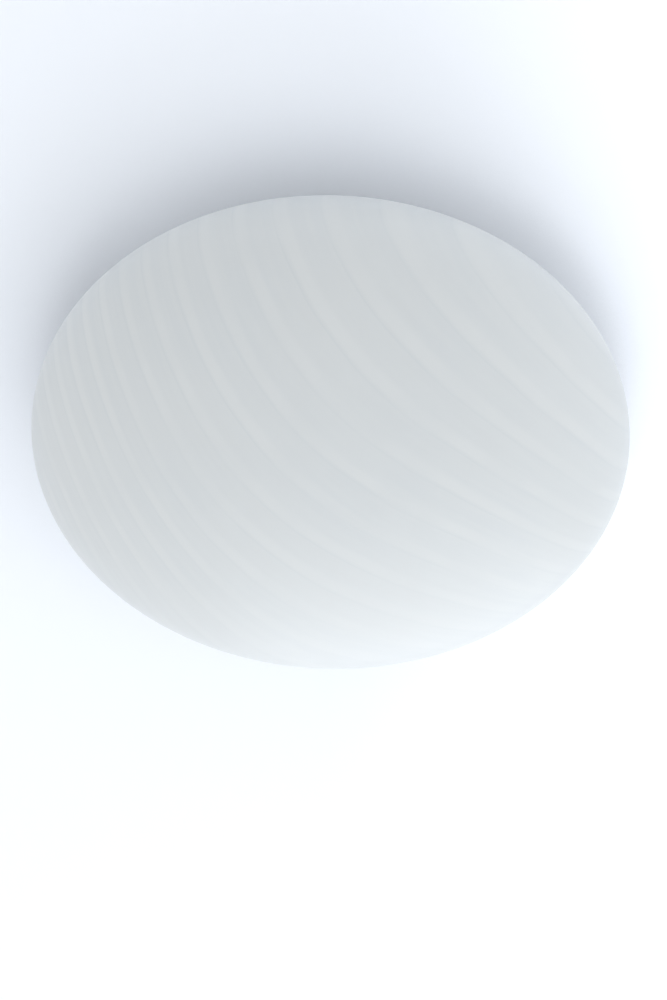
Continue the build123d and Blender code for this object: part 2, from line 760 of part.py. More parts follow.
def add_wire(points):
    """A round wire along a route, straight between bends that are as wide as they can be."""
    radii = bend_radii(points)
    with BuildLine() as route:
        FilletPolyline(*points, radius=radii)
    path = route.wire()
    with BuildSketch(Plane(origin=path @ 0, z_dir=path % 0)) as section:
        Circle(wire_radius)
    sweep(sections=section.sketch, path=path)
    expected = math.pi * wire_radius**2 * path.length
    print("wire", round(path.length), "long, bends", [round(r, 1) for r in radii], round(expected))


for wire_name, pole, routes in (
    ("live_wires", live_pole, live_routes),
    ("neutral_wires", neutral_pole, neutral_routes),
):
    with BuildPart() as wires:
        for place, middle, end in routes:
            row = pole + place * wire_pitch
            add_wire([
                (wire_stop, row, wire_at),
                (wire_turn, row, wire_at),
                *middle,
                (end.X, end.Y, turn_down_at),
                (end.X, end.Y, wire_down_to),
            ])
    print(wire_name, "volume", round(wires.part.volume))
    save(wires.part, wire_name)

with BuildPart() as earth_wire:
    add_wire([
        (earth_offset + barrel_end - wire_seat, earth_pole, barrel_at),
        (wire_turn - earth_wire_step, earth_pole, barrel_at),
        (wire_turn, earth_pole, wire_at),
        (wire_stop, earth_pole, wire_at),
    ])
save(earth_wire.part, "earth_wire")

print("mouth radius", round(mouth_radius, 2), "pan radius", round(pan_radius, 2))
print("widest circle at", round(widest_at, 2), "lowest point at", round(widest_at - bowl_depth, 2))
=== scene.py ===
import json
import math
import random
import bmesh
import bpy
from mathutils import Matrix, Vector


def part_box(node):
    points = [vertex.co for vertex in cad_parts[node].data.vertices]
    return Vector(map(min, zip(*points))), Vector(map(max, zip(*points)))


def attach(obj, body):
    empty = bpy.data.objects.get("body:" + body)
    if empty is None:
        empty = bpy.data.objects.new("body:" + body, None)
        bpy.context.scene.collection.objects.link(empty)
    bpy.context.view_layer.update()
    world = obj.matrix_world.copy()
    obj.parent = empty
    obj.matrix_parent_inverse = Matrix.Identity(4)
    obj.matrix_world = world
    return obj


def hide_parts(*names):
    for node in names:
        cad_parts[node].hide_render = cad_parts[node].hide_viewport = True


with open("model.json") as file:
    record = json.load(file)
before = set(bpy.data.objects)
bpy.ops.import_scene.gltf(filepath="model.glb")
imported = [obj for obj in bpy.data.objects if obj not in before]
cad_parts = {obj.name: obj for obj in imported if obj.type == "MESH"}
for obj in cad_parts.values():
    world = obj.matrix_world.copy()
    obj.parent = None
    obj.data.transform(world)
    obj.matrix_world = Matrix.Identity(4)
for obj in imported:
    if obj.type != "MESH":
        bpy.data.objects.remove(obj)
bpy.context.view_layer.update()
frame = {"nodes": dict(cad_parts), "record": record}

# A flush ceiling light seen from below: a closed bowl of satin glass under a white ceiling.
# Metres, in the frame of the model: the ceiling at Z = 0, the light below it.

MM = 0.001
WELD = 0.001 * MM  # points closer than this are one

shade_low, shade_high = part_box("glass_shade")
shade_radius = (shade_high.x - shade_low.x) / 2
dome_middle = Vector((0, 0, -57.8 * MM))  # centre of the glass's widest circle
dome_depth = dome_middle.z - shade_low.z

# Camera
LENS = 50.0
CAMERA_DISTANCE = 0.9396  # from the centre of the widest circle
CAMERA_RISE = 48.95  # degrees above level that the camera looks up
CAMERA_YAW = -0.21
CAMERA_PITCH = -1.58
CAMERA_ROLL = -2.07

# Room
CEILING_GAP = 0.4 * MM  # the ceiling's plane is just above the pan's back
CEILING_HALF = 6.0
FLOOR_DROP = 2.4
FLOOR_HALF = 30.0
CEILING_COLOR = (0.555, 0.572, 0.605)
CEILING_GLOW_COLOR = (0.90, 0.94, 1.0)
CEILING_GLOW = 0.435  # a glow beyond what falls on it, with painted shadow where the object stands close
CEILING_REACH = 0.295  # how far the painted shadow of the object reaches around it on the ceiling
CEILING_BRIGHTER = (0.0, 0.26)  # painted light, from the object's middle to its right, where window light would fall
CEILING_PAINTED_LIGHT = 0.19
CEILING_DARKER = (-0.18, -0.11)  # painted shade on its left, close to the glass, where no window light would fall
CEILING_PAINTED_SHADE = 0.32
CEILING_EDGE = 0.14  # how far the object keeps the painted light off
CEILING_CLEAR = (0.46, 0.70)  # open air over that reach, from none of the painted light to all of it
CEILING_NEAR = 28 * MM  # what lies closer is lit through the ceiling, so that its back shows from above
CEILING_FAR = 1.0  # and so is what lies further, such as the floor
FLOOR_COLOR = (0.735, 0.74, 0.74)
FLOOR_ROUGHNESS = 0.8
FLOOR_WHITENESS = 0.5  # added where the floor is seen, so that it is a white background
AMBIENT = 0.956
AMBIENT_RISE = 0.22  # the surroundings are brighter above than below
AMBIENT_COLOR = (0.97, 0.985, 1.0)

# Windows, and the walls opposite that they light: where each is from the object, and its power
WINDOWS = {
    "window_far": ((0.22, 0.89, -0.34), 16.4),
    "window_right": ((0.88, 0.05, -0.47), 6.4),
    "wall_left": ((-0.97, 0.22, -0.07), 4.4),
    "wall_near": ((0.25, -0.96, -0.08), 3.8),
}
WINDOW_DISTANCE = 1.9
WINDOW_SIZE = 1.7
WINDOW_COLOR = (0.90, 0.95, 1.0)

# Glass: the inner face is whiter, painted light for what would come through the glass; it is told by how
# far out it lies, squared, in the outer face's radii
GLASS_INSIDE_PAINTED_LIGHT = (0.86, 0.87, 0.87)
GLASS_WALL = (0.965, 0.985)  # the inner face lies below the first, the outer face above the second

# Swirl in the glass: the stripes' count across the dome, on its plan, in dome radii
STRIPES_AT_CENTRE = 7.13
STRIPES_FAR = 5.38
STRIPES_RIGHT = -4.4
STRIPE_FAN = 1.74
STRIPE_BOW = 1.97
STRIPE_TAIL = -2.75
STRIPE_EASE = -0.61
STRIPE_SOFT = (0.24, 0.45)  # across one pitch: a stripe's soft side
STRIPE_CRISP = (0.58, 0.68)  # its crisp side
STRIPE_LINE = 0.70  # and the faint dark line along that side
STRIPE_LINE_HALF = 0.035
STRIPE_FADE = (-0.15, 0.55)  # where the stripes grow fainter towards the far side
STRIPE_FAINTEST = 0.5
STRIPE_PATCH = 60 * MM  # about how far a stripe keeps its strength and its place
STRIPE_PATCH_EDGE = (0.35, 0.62)  # of the noise, from a weak patch to a full one
STRIPE_WEAKEST = 0.35
STRIPE_WANDER = (-0.06, 0.06)  # how far a stripe strays from its line, in pitches
STREAKS = 4.3  # fine streaks to a stripe
STREAKS_RIGHT = 1.22  # how many times as fast they change to the right as to the far side
STREAKS_ALONG = 2.2  # how often they change along their run, in dome radii
STREAK_EDGE = (0.3, 0.7)

# Lamp caps and the shells they screw into: three turned copies of a pair that lies along X
THIRDS = [Matrix.Rotation(math.tau / 3 * step, 4, "Z") for step in range(3)]
THREAD_PITCH = 3.63 * MM
THREAD_SIDES = 96
THREAD_STEP = 0.3 * MM  # between rings of points
CAP_THREAD_DEPTH = 0.85 * MM
CAP_THREAD = (1.0 * MM, 15.5 * MM)  # from the cap's shoulder
CAP_NECK = 2.5 * MM  # the cap's neck is this much smaller in radius, and as long
CAP_ROUND = 1.2 * MM  # radius of the cap's rounded shoulder
CAP_ROUND_AT = 0.4 * MM  # and how far past the neck its centre lies
CAP_WALL = 0.4 * MM
SHELL_THREAD_DEPTH = 0.33 * MM
SHELL_THREAD = (3.5 * MM, 24 * MM)  # from the shell's floor
SHELL_MOUTH = 6.5 * MM  # radius of the hole in the shell's floor
SHELL_FLOOR_STEP = 2 * MM  # between rings of points on that floor
SHELL_ROUND = 0.6 * MM  # radius of the bend from the floor to the wall
SHELL_WALL = 0.4 * MM

# Small screws
SCREW_SIDES = 36
SCREW_STEPS = 6  # rings of points to a turn of the thread

# Screw shanks, as shares of the shank's radius
SCREW_THREAD_DEPTH = 0.13
TIP_RADIUS = 0.75
TIP_LENGTH = 0.25
THREAD_START = 0.3  # from the tip

# Screw heads, as shares of the head's height
HEAD_EDGE = 0.05
HEAD_ROUND = 0.42
HEAD_DOME = 0.1
DRIVE_DEPTH = 0.62

# Screw heads, as shares of the head's radius
HEAD_REACH = 0.9  # what lies further out than this is part of the head
DOME_RINGS = (0.7, 0.5, 0.3, 0.12)
DRIVE_RADIUS = 0.62
DRIVE_WIDTH = 0.30

# Recess cutters, as shares of the recess
CROSS_MOUTH = 1.05  # width and radius at its mouth
CROSS_FLOOR_WIDTH = 0.7
CROSS_FLOOR_RADIUS = 0.35
CROSS_PROUD = 0.2  # how far the cutter stands out of the head, in depths
SLOT_LENGTH = 2.4  # in radii, so that the slot runs out at both ends



# Shader nodes

class Field:
    """A number that varies over a surface, made by shader nodes and joined by plain arithmetic."""

    def __init__(self, tree, socket):
        self.tree = tree
        self.socket = socket

    def math(self, operation, *others):
        node = self.tree.nodes.new("ShaderNodeMath")
        node.operation = operation
        for slot, value in zip(node.inputs, (self, *others)):
            if isinstance(value, Field):
                self.tree.links.new(value.socket, slot)
            else:
                slot.default_value = value
        return Field(self.tree, node.outputs[0])

    def __add__(self, other):
        return self.math("ADD", other)

    def __sub__(self, other):
        return self.math("SUBTRACT", other)

    def __mul__(self, other):
        return self.math("MULTIPLY", other)

    def between(self, low, high):
        """0 below low, 1 above high, and a smooth rise between them."""
        node = self.tree.nodes.new("ShaderNodeMapRange")
        node.interpolation_type = "SMOOTHSTEP"
        self.tree.links.new(self.socket, node.inputs["Value"])
        node.inputs["From Min"].default_value = low
        node.inputs["From Max"].default_value = high
        return Field(self.tree, node.outputs["Result"])

    def spread(self, low, high):
        """The field's 0 to 1, spread from low to high."""
        return self * (high - low) + low

    def flip(self):
        return self.math("MULTIPLY_ADD", -1, 1)


class Finish:
    """A procedural material on one Principled shader."""

    def __init__(self, name, color, roughness, metallic=0.0, **settings):
        self.material = bpy.data.materials.new(name)
        self.material.use_nodes = True
        self.tree = self.material.node_tree
        self.shader = self.tree.nodes["Principled BSDF"]
        self.color = color
        self.set("Base Color", (*color, 1.0))
        self.set("Roughness", roughness)
        self.set("Metallic", metallic)
        for socket, value in settings.items():
            self.set(socket.replace("_", " "), value)

    def set(self, socket, value):
        self.shader.inputs[socket].default_value = value

    def place(self):
        """Where a point is on the piece itself, so that the finish moves with it."""
        return self.tree.nodes.new("ShaderNodeTexCoord").outputs["Object"]

    def axes(self):
        node = self.tree.nodes.new("ShaderNodeSeparateXYZ")
        self.tree.links.new(self.place(), node.inputs[0])
        return [Field(self.tree, socket) for socket in node.outputs]

    def noise(self, size, detail=2.0, stretch=(1, 1, 1)):
        """Cloudy noise whose blotches are about size across."""
        scale = self.tree.nodes.new("ShaderNodeMapping")
        scale.inputs["Scale"].default_value = stretch
        self.tree.links.new(self.place(), scale.inputs["Vector"])
        node = self.tree.nodes.new("ShaderNodeTexNoise")
        node.inputs["Scale"].default_value = 1 / size
        node.inputs["Detail"].default_value = detail
        self.tree.links.new(scale.outputs["Vector"], node.inputs["Vector"])
        return Field(self.tree, node.outputs["Fac"])

    def drawn_noise(self, across, along):
        """Noise drawn out into streaks: across runs over them, and along runs down them."""
        place = self.tree.nodes.new("ShaderNodeCombineXYZ")
        self.tree.links.new(across.socket, place.inputs["X"])
        self.tree.links.new(along.socket, place.inputs["Y"])
        node = self.tree.nodes.new("ShaderNodeTexNoise")
        node.inputs["Scale"].default_value = 1
        self.tree.links.new(place.outputs[0], node.inputs["Vector"])
        return Field(self.tree, node.outputs["Fac"])

    def cells(self, size):
        """Flat cells about size across, each with a value of its own."""
        node = self.tree.nodes.new("ShaderNodeTexVoronoi")
        node.inputs["Scale"].default_value = 1 / size
        self.tree.links.new(self.place(), node.inputs["Vector"])
        split = self.tree.nodes.new("ShaderNodeSeparateColor")
        self.tree.links.new(node.outputs["Color"], split.inputs[0])
        return Field(self.tree, split.outputs[0])

    def vary_color(self, field, other):
        """The colour goes from its own to another where the field goes from 0 to 1."""
        node = self.tree.nodes.new("ShaderNodeMix")
        node.data_type = "RGBA"
        self.tree.links.new(field.socket, node.inputs["Factor"])
        base = self.shader.inputs["Base Color"]
        if base.links:
            self.tree.links.new(base.links[0].from_socket, node.inputs["A"])
        else:
            node.inputs["A"].default_value = (*self.color, 1.0)
        node.inputs["B"].default_value = (*other, 1.0)
        self.tree.links.new(node.outputs["Result"], base)

    def vary_roughness(self, field, low, high):
        self.tree.links.new(field.spread(low, high).socket, self.shader.inputs["Roughness"])

    def relief(self, field, height):
        """Fine relief: the field's 0 to 1 stands for that height."""
        node = self.tree.nodes.new("ShaderNodeBump")
        node.inputs["Distance"].default_value = height
        self.tree.links.new(field.socket, node.inputs["Height"])
        normal = self.shader.inputs["Normal"]
        if normal.links:
            self.tree.links.new(normal.links[0].from_socket, node.inputs["Normal"])
        self.tree.links.new(node.outputs["Normal"], normal)


# Finishes

def swirl(finish):
    """Fields of the swirl: 1 on its light stripes, on the dark line along each, and on fine streaks."""
    x, y, _ = finish.axes()
    x = x * (1 / shade_radius)
    y = y * (1 / shade_radius)
    count = y * STRIPES_FAR + x * STRIPES_RIGHT + STRIPES_AT_CENTRE
    count = count + x * y * STRIPE_FAN + x * x * STRIPE_BOW
    count = count + x * x * x * STRIPE_TAIL + y * y * y * STRIPE_EASE
    across = (count + finish.noise(STRIPE_PATCH, detail=1.0).spread(*STRIPE_WANDER)).math("FRACT")
    stripe = across.between(*STRIPE_SOFT) * across.between(*STRIPE_CRISP).flip()
    line = (across - STRIPE_LINE).math("ABSOLUTE").between(0, STRIPE_LINE_HALF).flip()
    weight = y.between(*STRIPE_FADE).spread(1, STRIPE_FAINTEST)
    patches = finish.noise(STRIPE_PATCH).between(*STRIPE_PATCH_EDGE)
    weight = weight * patches.spread(STRIPE_WEAKEST, 1)
    streaks = finish.drawn_noise(count * STREAKS, (x * STREAKS_RIGHT + y) * STREAKS_ALONG)
    return stripe * weight, line * weight, streaks.between(*STREAK_EDGE)


def inside(finish):
    """1 on the inner face of the glass, which lies within the spheroid that its outer face follows."""
    x, y, z = finish.axes()
    out = (x * x + y * y) * (1 / shade_radius**2)
    down = (z - dome_middle.z) * (1 / dome_depth)
    return (out + down * down).between(*GLASS_WALL).flip()


def satin_glass():
    finish = Finish(
        "satin_glass", (0.615, 0.635, 0.643), 0.44,
        Subsurface_Weight=0.12, Subsurface_Scale=4 * MM, IOR=1.5,
    )
    finish.set("Subsurface Radius", (1.0, 1.0, 1.0))
    stripe, line, streaks = swirl(finish)
    finish.vary_color(finish.noise(90 * MM, detail=1.0).between(0.35, 0.7), (0.625, 0.640, 0.643))
    finish.vary_color(streaks, (0.628, 0.646, 0.650))
    finish.vary_color(line, (0.606, 0.628, 0.635))
    finish.vary_color(stripe, (0.649, 0.664, 0.665))
    # painted light: the inner face is whiter, for light that would come through the glass
    finish.vary_color(inside(finish), GLASS_INSIDE_PAINTED_LIGHT)
    finish.vary_roughness(stripe, 0.44, 0.48)
    finish.relief(finish.noise(0.5 * MM, detail=3.0), 0.012 * MM)
    return finish.material


def white_enamel():
    finish = Finish("white_enamel", (0.82, 0.82, 0.80), 0.34, Coat_Weight=0.25, Coat_Roughness=0.2)
    finish.vary_color(finish.noise(40 * MM).between(0.4, 0.75), (0.79, 0.79, 0.765))
    finish.vary_roughness(finish.noise(12 * MM), 0.28, 0.44)
    finish.relief(finish.noise(1.3 * MM, detail=1.0), 0.03 * MM)
    return finish.material


def spring_steel():
    finish = Finish("spring_steel", (0.50, 0.51, 0.52), 0.34, metallic=1.0)
    rolled = finish.noise(0.8 * MM, detail=3.0, stretch=(1, 1, 0.06))
    finish.vary_color(rolled.between(0.35, 0.75), (0.42, 0.43, 0.45))
    finish.vary_color(finish.noise(18 * MM, detail=1.0).between(0.55, 0.8), (0.50, 0.485, 0.455))
    finish.vary_roughness(rolled, 0.27, 0.45)
    finish.relief(rolled, 0.006 * MM)
    return finish.material


def soft_sleeve():
    finish = Finish(
        "soft_sleeve", (0.80, 0.80, 0.77), 0.42,
        Subsurface_Weight=0.5, Subsurface_Scale=1.5 * MM, Transmission_Weight=0.25,
    )
    finish.vary_roughness(finish.noise(1.5 * MM), 0.36, 0.5)
    return finish.material


def zinc_steel():
    finish = Finish("zinc_steel", (0.66, 0.68, 0.71), 0.34, metallic=1.0)
    finish.vary_color(finish.cells(2.2 * MM), (0.73, 0.735, 0.74))
    finish.vary_roughness(finish.noise(3 * MM), 0.26, 0.46)
    finish.relief(finish.noise(0.8 * MM), 0.01 * MM)
    return finish.material


def porcelain():
    finish = Finish(
        "porcelain", (0.84, 0.83, 0.79), 0.14,
        Coat_Weight=0.5, Coat_Roughness=0.06, Subsurface_Weight=0.1, Subsurface_Scale=1.5 * MM,
    )
    finish.vary_color(finish.noise(9 * MM, detail=3.0).between(0.45, 0.8), (0.81, 0.795, 0.75))
    finish.vary_color(finish.noise(1.1 * MM, detail=0.0).between(0.83, 0.86), (0.60, 0.54, 0.46))
    finish.relief(finish.noise(5 * MM), 0.08 * MM)
    return finish.material


def brass():
    finish = Finish("brass", (0.78, 0.60, 0.29), 0.24, metallic=1.0)
    finish.vary_color(finish.noise(3 * MM, detail=4.0).between(0.45, 0.75), (0.62, 0.44, 0.20))
    finish.vary_roughness(finish.noise(1.6 * MM), 0.18, 0.38)
    return finish.material


def plated(name, color, roughness):
    finish = Finish(name, color, roughness, metallic=1.0)
    darker = tuple(value * 0.86 for value in color)
    finish.vary_color(finish.noise(4 * MM, detail=3.0).between(0.45, 0.8), darker)
    finish.vary_roughness(finish.noise(1.2 * MM), roughness * 0.8, roughness * 1.4)
    return finish.material


def solder():
    finish = Finish("solder", (0.60, 0.60, 0.59), 0.38, metallic=1.0)
    finish.relief(finish.noise(1.2 * MM, detail=3.0), 0.08 * MM)
    return finish.material


def black_glass():
    finish = Finish("black_glass", (0.02, 0.02, 0.022), 0.08, Coat_Weight=0.4)
    finish.relief(finish.noise(2 * MM), 0.03 * MM)
    return finish.material


def moulded(name, color, roughness, grain, depth, **settings):
    """A moulded plastic or rubber with a fine grain and a slight mottle."""
    finish = Finish(name, color, roughness, **settings)
    shade = tuple(value * 0.95 for value in color)
    finish.vary_color(finish.noise(14 * MM).between(0.4, 0.8), shade)
    finish.vary_roughness(finish.noise(grain * 3), roughness * 0.88, roughness * 1.14)
    finish.relief(finish.noise(grain, detail=1.0), depth)
    return finish.material


def earth_insulation():
    """Green with a yellow band down each side of the wire."""
    finish = Finish("green_yellow_insulation", (0.05, 0.33, 0.08), 0.34)
    _, y, _ = finish.axes()
    finish.vary_color(y.math("ABSOLUTE").between(0.60 * MM, 0.64 * MM), (0.74, 0.62, 0.05))
    finish.vary_roughness(finish.noise(1.5 * MM), 0.3, 0.42)
    return finish.material


FINISHES = {
    "satin_glass": satin_glass(),
    "white_enamel": white_enamel(),
    "spring_steel": spring_steel(),
    "soft_sleeve": soft_sleeve(),
    "zinc_steel": zinc_steel(),
    "porcelain": porcelain(),
    "brass": brass(),
    "tinned_copper": plated("tinned_copper", (0.72, 0.71, 0.69), 0.3),
    "nickel": plated("nickel", (0.74, 0.72, 0.68), 0.2),
    "solder": solder(),
    "black_glass": black_glass(),
    "white_plastic": moulded("white_plastic", (0.83, 0.83, 0.81), 0.4, 0.5 * MM, 0.012 * MM),
    "opal_plastic": moulded(
        "opal_plastic", (0.87, 0.87, 0.85), 0.36, 0.4 * MM, 0.006 * MM,
        Subsurface_Weight=0.25, Subsurface_Scale=3 * MM,
    ),
    "block_plastic": moulded(
        "block_plastic", (0.80, 0.79, 0.73), 0.42, 0.4 * MM, 0.01 * MM,
        Subsurface_Weight=0.2, Subsurface_Scale=1.5 * MM,
    ),
    "black_rubber": moulded("black_rubber", (0.03, 0.03, 0.032), 0.62, 0.3 * MM, 0.02 * MM),
    "brown_insulation": moulded("brown_insulation", (0.17, 0.07, 0.03), 0.34, 0.5 * MM, 0.008 * MM),
    "blue_insulation": moulded("blue_insulation", (0.05, 0.20, 0.52), 0.34, 0.5 * MM, 0.008 * MM),
    "green_yellow_insulation": earth_insulation(),
}

for part in frame["record"]["subparts"]:
    mesh = frame["nodes"][part["node"]].data
    mesh.materials.clear()
    mesh.materials.append(FINISHES[part["material_slot"]])


# Screw threads, and screw heads with their recesses, in place of plain solids

def helix(pitch, depth, start, end):
    """How far a right-hand thread dips below its crests, by place along the axis and angle."""
    def dip(along, angle):
        ease = min(along - start, end - along) / (pitch / 2)
        fade = min(max(ease, 0), 1)
        return depth * fade * (0.5 - 0.5 * math.cos(math.tau * along / pitch - angle))
    return dip


def turned(profile, dip, sides):
    """A skin turned about X from (along, radius) points. A radius of 0 closes an end."""
    bm = bmesh.new()
    rings = []
    for along, radius in profile:
        if radius == 0:
            rings.append([bm.verts.new((along, 0, 0))] * sides)
            continue
        ring = []
        for side in range(sides):
            angle = math.tau * side / sides
            reach = radius - dip(along, angle)
            ring.append(bm.verts.new((along, reach * math.cos(angle), reach * math.sin(angle))))
        rings.append(ring)
    for ring, after in zip(rings, rings[1:]):
        for side in range(sides):
            corners = [ring[side], after[side], after[side - 1], ring[side - 1]]
            bm.faces.new(list(dict.fromkeys(corners)))
    bmesh.ops.recalc_face_normals(bm, faces=bm.faces)
    return bm


def steps(start, end, length):
    """Even places from start to end, about a length apart."""
    count = max(1, round(abs(end - start) / length))
    return [start + (end - start) * step / count for step in range(count + 1)]


def arc(middle, radius, start, end, count=6):
    """Points on an arc in the profile's plane, by degrees from the along axis."""
    turn = [math.radians(start + (end - start) * step / count) for step in range(count + 1)]
    return [(middle[0] + radius * math.cos(a), middle[1] + radius * math.sin(a)) for a in turn]


def make(name, bm, slot, body, *nodes):
    """A piece of the model that stands for CAD nodes, and rides on their body."""
    mesh = bpy.data.meshes.new(name)
    bm.to_mesh(mesh)
    bm.free()
    piece = bpy.data.objects.new(name, mesh)
    bpy.context.scene.collection.objects.link(piece)
    mesh.materials.append(FINISHES[slot])
    mesh.shade_smooth()
    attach(piece, body)
    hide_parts(*nodes)


def applied(bm, kind, **settings):
    """The mesh as one modifier leaves it."""
    mesh = bpy.data.meshes.new("work")
    bm.to_mesh(mesh)
    bm.free()
    work = bpy.data.objects.new("work", mesh)
    bpy.context.scene.collection.objects.link(work)
    modifier = work.modifiers.new("step", kind)
    for setting, value in settings.items():
        setattr(modifier, setting, value)
    result = bmesh.new()
    shape = work.evaluated_get(bpy.context.evaluated_depsgraph_get())
    result.from_mesh(shape.to_mesh())
    shape.to_mesh_clear()
    bmesh.ops.remove_doubles(result, verts=result.verts, dist=WELD)
    bmesh.ops.dissolve_degenerate(result, edges=result.edges, dist=WELD)
    bpy.data.objects.remove(work)
    bpy.data.meshes.remove(mesh)
    return result


def lamp_threads():
    """The three lamp caps with their threads, and the threaded shells around them."""
    low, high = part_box("bulb_cap_1")
    shell_low, shell_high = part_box("screw_shell_1")
    axis = Matrix.Translation((0, (low.y + high.y) / 2, (low.z + high.z) / 2))
    radius = (high.z - low.z) / 2
    shoulder = low.x + CAP_NECK
    cap = [(low.x, radius - CAP_NECK)]
    cap += arc((shoulder + CAP_ROUND_AT, radius - CAP_ROUND), CAP_ROUND, 135, 90)
    cap += [(x, radius) for x in steps(shoulder + CAP_ROUND, high.x, THREAD_STEP)]
    cap_dip = helix(THREAD_PITCH, CAP_THREAD_DEPTH, *(shoulder + end for end in CAP_THREAD))
    shell_radius = (shell_high.z - shell_low.z) / 2
    flat = shell_radius - SHELL_ROUND
    shell = [(shell_low.x, reach) for reach in steps(SHELL_MOUTH, flat, SHELL_FLOOR_STEP)]
    shell += arc((shell_low.x + SHELL_ROUND, flat), SHELL_ROUND, 180, 90)[1:]
    shell += [(x, shell_radius) for x in steps(shell_low.x + 2 * SHELL_ROUND, shell_high.x, THREAD_STEP)]
    shell_dip = helix(THREAD_PITCH, SHELL_THREAD_DEPTH, *(shell_low.x + end for end in SHELL_THREAD))
    for number, third in enumerate(THIRDS, 1):
        for name, profile, dip, wall, slot, body, node in (
            ("threaded_cap", cap, cap_dip, CAP_WALL, "nickel", f"bulb_{number}", "bulb_cap"),
            ("threaded_shell", shell, shell_dip, SHELL_WALL, "brass", "base", "screw_shell"),
        ):
            bm = applied(turned(profile, dip, THREAD_SIDES), "SOLIDIFY", thickness=wall, offset=-1)
            bm.transform(third @ axis)
            make(f"{name}_{number}", bm, slot, body, f"{node}_{number}")


def solids(node):
    """The points of each solid of a CAD node."""
    bm = bmesh.new()
    bm.from_mesh(frame["nodes"][node].data)
    bmesh.ops.remove_doubles(bm, verts=bm.verts, dist=WELD)
    groups = []
    for seed in bm.verts:
        if seed.tag:
            continue
        seed.tag = True
        group = [seed]
        for vert in group:
            for edge in vert.link_edges:
                other = edge.other_vert(vert)
                if not other.tag:
                    other.tag = True
                    group.append(other)
        groups.append([vert.co.copy() for vert in group])
    bm.free()
    return groups


def cross_cutter(top, radius, depth, width):
    """Two crossed wedges that narrow downwards, as a cross recess does."""
    bm = bmesh.new()
    for turn in (0, math.pi / 2):
        made = bmesh.ops.create_cube(bm, size=1)["verts"]
        for vert in made:
            down = vert.co.x < 0
            vert.co.y *= width * (CROSS_FLOOR_WIDTH if down else CROSS_MOUTH)
            vert.co.z *= 2 * radius * (CROSS_FLOOR_RADIUS if down else CROSS_MOUTH)
            vert.co.x = top - depth if down else top + depth * CROSS_PROUD
        bmesh.ops.rotate(bm, verts=made, cent=(0, 0, 0), matrix=Matrix.Rotation(turn, 3, "X"))
    return bm


def slot_cutter(top, radius, depth, width):
    """A straight slot, right across the head."""
    bm = bmesh.new()
    for vert in bmesh.ops.create_cube(bm, size=1)["verts"]:
        vert.co.y *= width
        vert.co.z *= SLOT_LENGTH * radius
        vert.co.x = top - depth if vert.co.x < 0 else top + depth
    return bm


def cut(bm, cutter):
    """The mesh with the cutter taken out of it."""
    mesh = bpy.data.meshes.new("cutter")
    cutter.to_mesh(mesh)
    cutter.free()
    tool = bpy.data.objects.new("cutter", mesh)
    bpy.context.scene.collection.objects.link(tool)
    result = applied(bm, "BOOLEAN", operation="DIFFERENCE", object=tool, solver="EXACT", use_self=True)
    bpy.data.objects.remove(tool)
    bpy.data.meshes.remove(mesh)
    return result


def screw(points, axis, pitch, drive, turn):
    """One screw in the place of a CAD solid, whose head points along the axis."""
    along = [point.dot(axis) for point in points]
    side = axis.orthogonal().normalized()
    other = axis.cross(side)
    centre = Vector()
    for direction in (side, other):
        spread = [point.dot(direction) for point in points]
        centre += direction * (min(spread) + max(spread)) / 2
    out = [(point - centre - axis * place).length for point, place in zip(points, along)]
    tip, top, head = min(along), max(along), max(out)
    seat = min(place for place, reach in zip(along, out) if reach > HEAD_REACH * head)
    shank = max(reach for place, reach in zip(along, out) if place < seat - 2 * WELD)
    height = top - seat
    edge = HEAD_ROUND * height
    dome = HEAD_DOME * height
    profile = [(tip, 0), (tip, TIP_RADIUS * shank), (tip + TIP_LENGTH * shank, shank)]
    profile += [(x, shank) for x in steps(tip + THREAD_START * shank, seat, pitch / SCREW_STEPS)]
    profile += [(seat, (shank + head) / 2), (seat, head), (seat + HEAD_EDGE * height, head)]
    profile += arc((top - dome - edge, head - edge), edge, 90, 25)
    profile += [(top - dome * share**2, head * share) for share in DOME_RINGS]
    profile.append((top, 0))
    bm = turned(profile, helix(pitch, SCREW_THREAD_DEPTH * shank, tip, seat), SCREW_SIDES)
    bm = cut(bm, drive(top, DRIVE_RADIUS * head, DRIVE_DEPTH * height, DRIVE_WIDTH * head))
    bm.transform(Matrix.Rotation(turn, 4, "X"))
    lie = axis.to_track_quat("X", "Z").to_matrix().to_4x4()
    bm.transform(Matrix.Translation(centre) @ lie)
    return bm


def screws(name, node, slot, pitch, drive, facings, seed):
    """All screws of a node, each turned home at an angle of its own.

    A screw's head points along the facing whose place is nearest to it.
    """
    chance = random.Random(seed)
    whole = bmesh.new()
    for points in solids(node):
        middle = sum(points, Vector()) / len(points)
        axis = min(facings, key=lambda facing: (middle - facing[1]).length)[0]
        one = screw(points, axis, pitch, drive, chance.uniform(0, math.pi))
        mesh = bpy.data.meshes.new("one")
        one.to_mesh(mesh)
        one.free()
        whole.from_mesh(mesh)
        bpy.data.meshes.remove(mesh)
    make(name, whole, slot, "base", node)


# Room: a ceiling that is seen from below only, a floor and pale surroundings

def plane(name, half, height, facing):
    """A square plane, facing up (1) or down (-1)."""
    mesh = bpy.data.meshes.new(name)
    corners = [(x * half, y * half, height) for x, y in ((-1, -1), (1, -1), (1, 1), (-1, 1))]
    mesh.from_pydata(corners, [], [tuple(range(4))[::facing]])
    piece = bpy.data.objects.new(name, mesh)
    bpy.context.scene.collection.objects.link(piece)
    return piece


def seen_rays(tree):
    """1 for rays that come from the camera, straight or by a mirror or through glass."""
    rays = tree.nodes.new("ShaderNodeLightPath")
    camera, glossy, through = (
        Field(tree, rays.outputs[name])
        for name in ("Is Camera Ray", "Is Glossy Ray", "Is Transmission Ray")
    )
    return camera.math("MAXIMUM", glossy).math("MAXIMUM", through)


